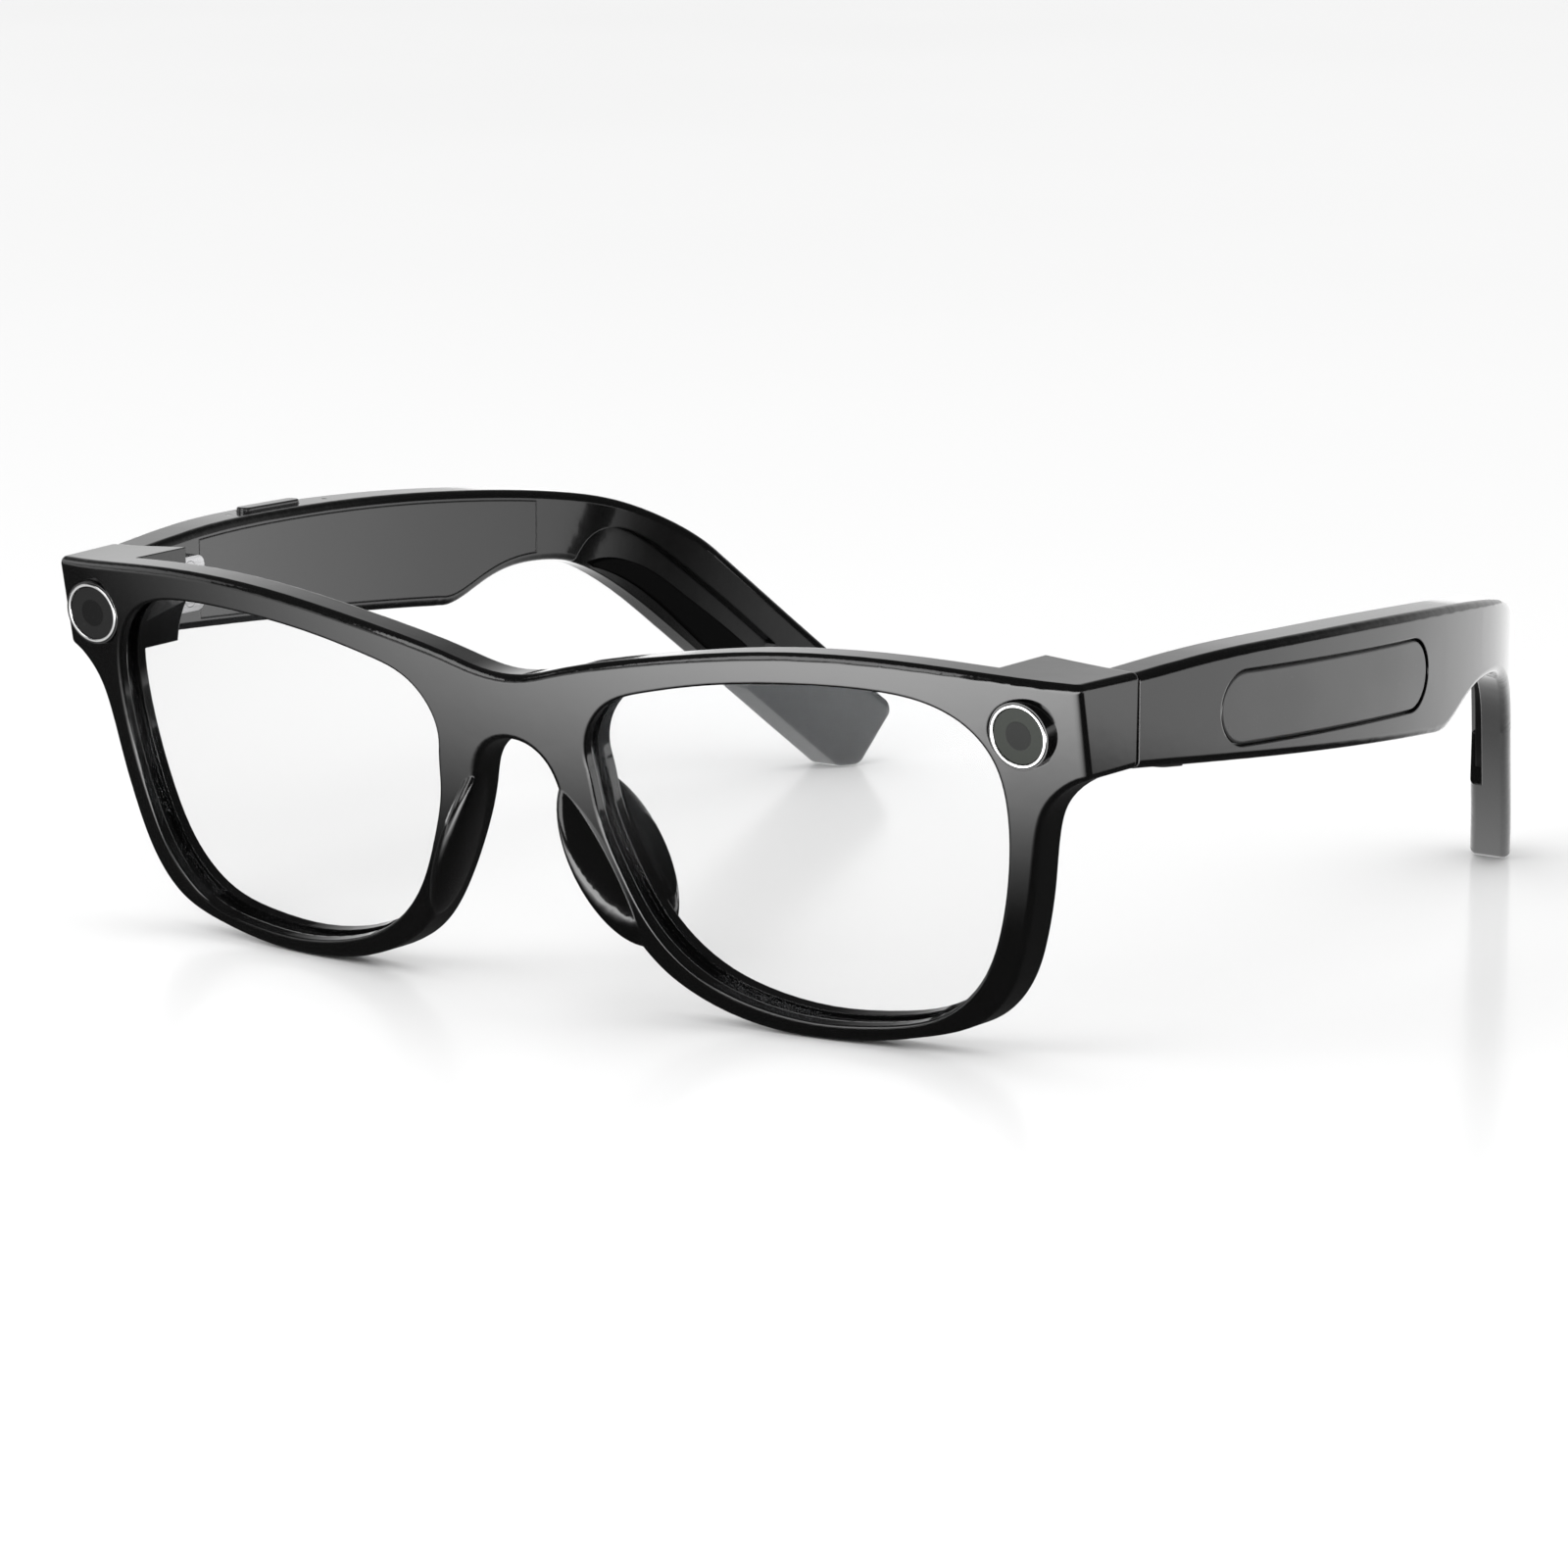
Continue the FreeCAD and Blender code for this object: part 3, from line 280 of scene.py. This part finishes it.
def optic_glass():
    """Small coated lens element with a purple-blue reflection."""
    material, shader, surface = new_material("optic_glass")
    tone = shader.noise(shader.place(), 900, 1)
    shader.plug(surface.inputs["Base Color"],
                shader.mix(tone, (0.03, 0.05, 0.16, 1), (0.09, 0.03, 0.14, 1)))
    shader.plug(surface.inputs["Roughness"], shader.ramp(tone, 0.3, 0.7, 0.03, 0.08))
    surface.inputs["Coat Weight"].default_value = 1.0
    return material


def circuit_board():
    """Solder mask over copper tracks."""
    material, shader, surface = new_material("circuit_board")
    place = shader.place()
    tracks = shader.ramp(shader.noise(place, 1500, 0, stretch=(0.3, 1, 1)), 0.50, 0.53)
    shader.plug(surface.inputs["Base Color"],
                shader.mix(tracks, (0.008, 0.05, 0.022, 1), (0.02, 0.11, 0.045, 1)))
    shader.plug(surface.inputs["Roughness"], shader.ramp(tracks, 0, 1, 0.42, 0.3))
    shader.plug(surface.inputs["Normal"], shader.bump(tracks, 0.03 * MILLIMETRE, strength=0.6))
    return material


def flex_circuit():
    """Amber film with copper lines along it."""
    material, shader, surface = new_material("flex_circuit")
    lines = shader.ramp(shader.noise(shader.place(), 2500, 0, stretch=(0.01, 1, 1)), 0.48, 0.52)
    shader.plug(surface.inputs["Base Color"],
                shader.mix(lines, (0.42, 0.17, 0.02, 1), (0.62, 0.30, 0.10, 1)))
    shader.plug(surface.inputs["Roughness"], shader.ramp(lines, 0, 1, 0.28, 0.4))
    return material


def mesh_plate():
    """Blackened plate with rows of fine holes."""
    material, shader, surface = new_material("mesh_plate")
    place = shader.place()
    holes = shader.add("ShaderNodeTexVoronoi")
    holes.inputs["Scale"].default_value = 1800
    holes.inputs["Randomness"].default_value = 0.0
    shader.plug(holes.inputs["Vector"], place)
    solid = shader.ramp(holes.outputs["Distance"], 0.25, 0.32)
    shader.plug(surface.inputs["Base Color"], shader.mix(solid, grey(0.002), grey(0.09)))
    shader.plug(surface.inputs["Roughness"], shader.ramp(solid, 0, 1, 0.9, 0.35))
    shader.plug(surface.inputs["Normal"], shader.bump(solid, 0.08 * MILLIMETRE))
    surface.inputs["Metallic"].default_value = 0.8
    return material


def light_pipe():
    """Frosted clear plastic."""
    material, shader, surface = new_material("light_pipe")
    frost = shader.noise(shader.place(), 4000, 3)
    shader.plug(surface.inputs["Base Color"], shader.mix(frost, grey(0.35), grey(0.5)))
    shader.plug(surface.inputs["Roughness"], shader.ramp(frost, 0.3, 0.7, 0.3, 0.5))
    surface.inputs["Subsurface Weight"].default_value = 0.3
    surface.inputs["Subsurface Radius"].default_value = (MILLIMETRE, MILLIMETRE, MILLIMETRE)
    return material


STEEL = (0.66, 0.66, 0.67, 1)


def slot_materials():
    """One material for each of the record's material slots."""
    return {
        "frame_gloss_black": gloss_plastic("frame_gloss_black", 0.003, 0.10),
        "temple_gloss_black": gloss_plastic("temple_gloss_black", 0.003, 0.10),
        "cover_black": gloss_plastic("cover_black", 0.004, 0.13),
        "module_black": gloss_plastic("module_black", 0.003, 0.08, edge_radius=0.12 * MILLIMETRE),
        "touch_panel_black": gloss_plastic("touch_panel_black", 0.05, 0.26, coat=0.7),
        "button_black": gloss_plastic("button_black", 0.02, 0.14, edge_radius=0.2 * MILLIMETRE),
        "clear_lens": clear_lens(),
        "bezel_chrome": metal("bezel_chrome", grey(0.75), 0.15),
        "optic_glass": optic_glass(),
        "barrel_black": soft_touch("barrel_black", 0.015, 7000),
        "reflector": soft_touch("reflector", 0.55, 7000),
        "circuit_board": circuit_board(),
        "flex_circuit": flex_circuit(),
        "hinge_steel": metal("hinge_steel", STEEL, 0.24, stretch=(1, 0.05, 1)),
        "ear_pad_rubber": soft_touch("ear_pad_rubber", 0.002, 5200,
                                     grain_depth=0.002 * MILLIMETRE, shine=0.06),
        "battery_foil": metal("battery_foil", grey(0.6), 0.35),
        "speaker_body": soft_touch("speaker_body", 0.03, 5000),
        "grille_mesh": mesh_plate(),
        "contact_island": soft_touch("contact_island", 0.02, 5200),
        "contact_gold": metal("contact_gold", (0.86, 0.66, 0.32, 1), 0.2),
        "switch_metal": metal("switch_metal", STEEL, 0.3),
        "light_pipe": light_pipe(),
    }


def dress_nodes():
    """Give every CAD node the material of its slot."""
    materials = slot_materials()
    windows = {
        "camera_cover_glass": module_window("camera_window", "camera_cover_glass",
                                            (0.024, 0.028, 0.023, 1), (0.005, 0.006, 0.005, 1)),
        "light_cover_glass": module_window("light_window", "light_cover_glass",
                                           grey(0.012), grey(0.004)),
    }
    for part in frame["record"]["subparts"]:
        name = part["node"]
        node = frame["nodes"][name]
        material = windows.get(name) or materials[part["material_slot"]]
        node.data.materials.clear()
        node.data.materials.append(material)


# ---- studio ---------------------------------------------------------------------------------
FLOOR_HALF = 12.0
FLOOR_GAP = 0.05 * MILLIMETRE
AMBIENT = 1.33
DARK_SIDE = 0.03

# The even band of light behind the object, seen only in reflections: the direction of its middle
# in plan, and the heights (sine of the angle above the horizon) between which it fades.
BACK_BAND = Vector((-0.575, 0.818, 0.0))
BACK_BAND_BRIGHTNESS = 0.6
BACK_BAND_FULL = 0.10
BACK_BAND_GONE = 0.60

# What gloss sees of the floor: a bright pool in front of the glasses that fades towards them and
# towards the wearer's right, and a weaker glow behind the front. Pairs are where each fade starts
# and ends.
POOL_BRIGHTNESS = 5.6
POOL_ALONG = (-0.155, -0.086)
POOL_ACROSS = (-0.17, 0.04)
POOL_FAR_SIDE = 0.12
GLOW_BRIGHTNESS = 1.2
GLOW_ALONG = (0.03, 0.085)

# Softboxes near the object: name, centre, width, height, brightness as reflected.
SOFTBOXES = [
    ("key", (-0.05, -0.27, 0.165), 0.18, 0.20, 2.6),
    ("side", (-0.27, -0.15, 0.13), 0.16, 0.14, 0.7),
]
SOFTBOX_AIM = Vector((0.02, -0.06, 0))


def add_softbox(name, centre, width, height, brightness):
    data = bpy.data.lights.new(name, "AREA")
    data.shape = "RECTANGLE"
    data.size = width
    data.size_y = height
    data.energy = brightness * math.pi * width * height
    light = bpy.data.objects.new(name, data)
    bpy.context.scene.collection.objects.link(light)
    light.location = centre
    level_aim = SOFTBOX_AIM + Vector((0, 0, light.location.z))
    light.rotation_euler = (level_aim - light.location).to_track_quat("-Z", "Y").to_euler()
    light.visible_camera = False


def brightness_in_gloss(shader):
    """How bright the floor looks in reflections: a pool in front, a glow behind, shade between."""
    place = shader.place()
    across = shader.vector("DOT_PRODUCT", place, (1, 0, 0), "Value")
    along = shader.vector("DOT_PRODUCT", place, (0, 1, 0), "Value")
    pool = shader.math("MULTIPLY", shader.ramp(along, *POOL_ALONG, POOL_BRIGHTNESS, 0),
                       shader.ramp(across, *POOL_ACROSS, POOL_FAR_SIDE, 1))
    return shader.math("ADD", pool, shader.ramp(along, *GLOW_ALONG, DARK_SIDE, GLOW_BRIGHTNESS))


def add_floor():
    """Wide pale floor, slightly glossy."""
    mesh = bpy.data.meshes.new("floor")
    corners = [(-FLOOR_HALF, -FLOOR_HALF, 0), (FLOOR_HALF, -FLOOR_HALF, 0),
               (FLOOR_HALF, FLOOR_HALF, 0), (-FLOOR_HALF, FLOOR_HALF, 0)]
    mesh.from_pydata(corners, [], [(0, 1, 2, 3)])
    floor = bpy.data.objects.new("floor", mesh)
    bpy.context.scene.collection.objects.link(floor)
    lowest = cad_bounds[0][2]
    floor.location.z = lowest - FLOOR_GAP
    material, shader, surface = new_material("pale_floor")
    cloud = shader.noise(shader.place(), 3, 2)
    shader.plug(surface.inputs["Base Color"], shader.mix(cloud, grey(0.90), grey(0.93)))
    shader.plug(surface.inputs["Roughness"], shader.ramp(cloud, 0.3, 0.7, 0.16, 0.20))
    surface.inputs["IOR"].default_value = 1.5
    glow = shader.add("ShaderNodeEmission")
    shader.plug(glow.inputs["Strength"], brightness_in_gloss(shader))
    seen = shader.add("ShaderNodeMixShader")
    shader.plug(seen.inputs[0], shader.add("ShaderNodeLightPath").outputs["Is Glossy Ray"])
    shader.plug(seen.inputs[1], surface.outputs[0])
    shader.plug(seen.inputs[2], glow.outputs[0])
    shader.plug(material.node_tree.nodes["Material Output"].inputs["Surface"], seen.outputs[0])
    mesh.materials.append(material)


def add_world():
    """Even white light all round; gloss reflects a dark room with one low band of light."""
    world = bpy.data.worlds.new("studio")
    bpy.context.scene.world = world
    world.use_nodes = True
    shader = Shader(world.node_tree)
    direction = shader.add("ShaderNodeTexCoord").outputs["Generated"]
    height = shader.vector("DOT_PRODUCT", direction, (0, 0, 1), "Value")
    facing = shader.vector("DOT_PRODUCT", direction, tuple(BACK_BAND), "Value")
    low = shader.ramp(height, BACK_BAND_FULL, BACK_BAND_GONE, BACK_BAND_BRIGHTNESS, 0)
    band = shader.math("MULTIPLY", low, shader.ramp(facing, 0.2, 0.8))
    reflected = shader.math("ADD", band, DARK_SIDE)
    path = shader.add("ShaderNodeLightPath")
    clear_way = shader.math("SUBTRACT", 1.0, path.outputs["Is Transmission Ray"])
    in_gloss = shader.math("MULTIPLY", path.outputs["Is Glossy Ray"], clear_way)
    strength = shader.add("ShaderNodeMix", data_type="FLOAT")
    shader.plug(strength.inputs["Factor"], in_gloss)
    shader.plug(strength.inputs["A"], AMBIENT)
    shader.plug(strength.inputs["B"], reflected)
    background = world.node_tree.nodes["Background"]
    background.inputs["Color"].default_value = grey(1.0)
    shader.plug(background.inputs["Strength"], strength.outputs["Result"])


# ---- build ----------------------------------------------------------------------------------
add_camera()
dress_nodes()
add_floor()
add_world()
for softbox in SOFTBOXES:
    add_softbox(*softbox)
bpy.context.scene.view_settings.view_transform = "Standard"
